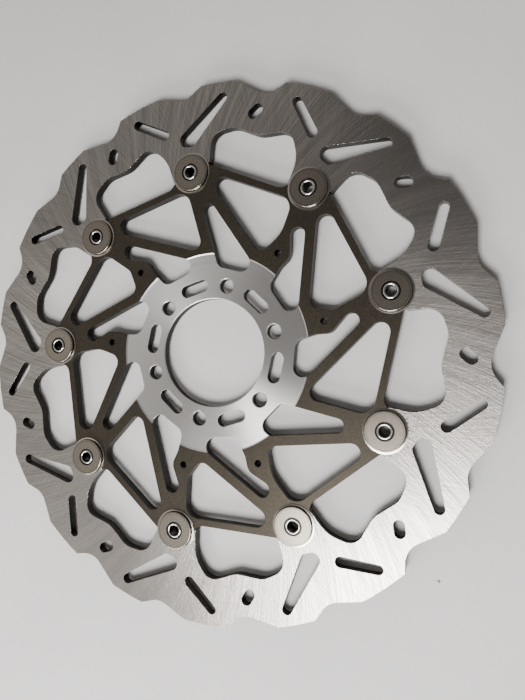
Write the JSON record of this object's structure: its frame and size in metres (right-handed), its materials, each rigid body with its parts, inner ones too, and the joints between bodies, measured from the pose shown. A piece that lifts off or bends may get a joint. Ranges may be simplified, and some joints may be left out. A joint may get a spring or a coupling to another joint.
{
  "type": "floating brake disc rotor",
  "caption": "Floating motorcycle brake disc: scalloped friction ring driven through riveted buttons by a spoked carrier with a bolted hub.",
  "frame": {"origin": "on the axis, in the rear face of the hub, which bolts to the wheel", "axes": "+Z along the axis to the outer side, +X through the middle of button 1"},
  "size_m": [0.3191, 0.32, 0.0102],
  "materials": {
    "ground_steel": "stainless steel ground to fine crossing straight scratches",
    "anodised_aluminium": "hard anodised, matte grey-brown, with a turned bare hub face",
    "button_steel": "turned, bright rolled lip",
    "spring_steel": "bright rolled edge",
    "washer_steel": "warm satin face with a polished round rim"
  },
  "bodies": {
    "carrier": {"carrier": "anodised_aluminium"},
    "disc": {"brake_disc": "ground_steel"},
    "button_1": {"bobbin_1": "button_steel", "spring_washer_1": "spring_steel", "flat_washer_1": "washer_steel"},
    "button_2": {"bobbin_2": "button_steel", "spring_washer_2": "spring_steel", "flat_washer_2": "washer_steel"},
    "button_3": {"bobbin_3": "button_steel", "spring_washer_3": "spring_steel", "flat_washer_3": "washer_steel"},
    "button_4": {"bobbin_4": "button_steel", "spring_washer_4": "spring_steel", "flat_washer_4": "washer_steel"},
    "button_5": {"bobbin_5": "button_steel", "spring_washer_5": "spring_steel", "flat_washer_5": "washer_steel"},
    "button_6": {"bobbin_6": "button_steel", "spring_washer_6": "spring_steel", "flat_washer_6": "washer_steel"},
    "button_7": {"bobbin_7": "button_steel", "spring_washer_7": "spring_steel", "flat_washer_7": "washer_steel"},
    "button_8": {"bobbin_8": "button_steel", "spring_washer_8": "spring_steel", "flat_washer_8": "washer_steel"},
    "button_9": {"bobbin_9": "button_steel", "spring_washer_9": "spring_steel", "flat_washer_9": "washer_steel"}
  },
  "joints": [
    {"name": "disc_float", "type": "slide", "parent": "carrier", "child": "disc", "axis": [0, 0, 1], "range_m": [0, 0.0002]},
    {"name": "button_1_spin", "type": "hinge", "parent": "carrier", "child": "button_1", "pos_m": [0.10875, 0, 0.0029], "axis": [0, 0, 1], "continuous": true},
    {"name": "button_2_spin", "type": "hinge", "parent": "carrier", "child": "button_2", "pos_m": [0.08331, -0.0699, 0.0029], "axis": [0, 0, 1], "continuous": true},
    {"name": "button_3_spin", "type": "hinge", "parent": "carrier", "child": "button_3", "pos_m": [0.01888, -0.1071, 0.0029], "axis": [0, 0, 1], "continuous": true},
    {"name": "button_4_spin", "type": "hinge", "parent": "carrier", "child": "button_4", "pos_m": [-0.05437, -0.09418, 0.0029], "axis": [0, 0, 1], "continuous": true},
    {"name": "button_5_spin", "type": "hinge", "parent": "carrier", "child": "button_5", "pos_m": [-0.10219, -0.03719, 0.0029], "axis": [0, 0, 1], "continuous": true},
    {"name": "button_6_spin", "type": "hinge", "parent": "carrier", "child": "button_6", "pos_m": [-0.10219, 0.03719, 0.0029], "axis": [0, 0, 1], "continuous": true},
    {"name": "button_7_spin", "type": "hinge", "parent": "carrier", "child": "button_7", "pos_m": [-0.05437, 0.09418, 0.0029], "axis": [0, 0, 1], "continuous": true},
    {"name": "button_8_spin", "type": "hinge", "parent": "carrier", "child": "button_8", "pos_m": [0.01888, 0.1071, 0.0029], "axis": [0, 0, 1], "continuous": true},
    {"name": "button_9_spin", "type": "hinge", "parent": "carrier", "child": "button_9", "pos_m": [0.08331, 0.0699, 0.0029], "axis": [0, 0, 1], "continuous": true}
  ]
}
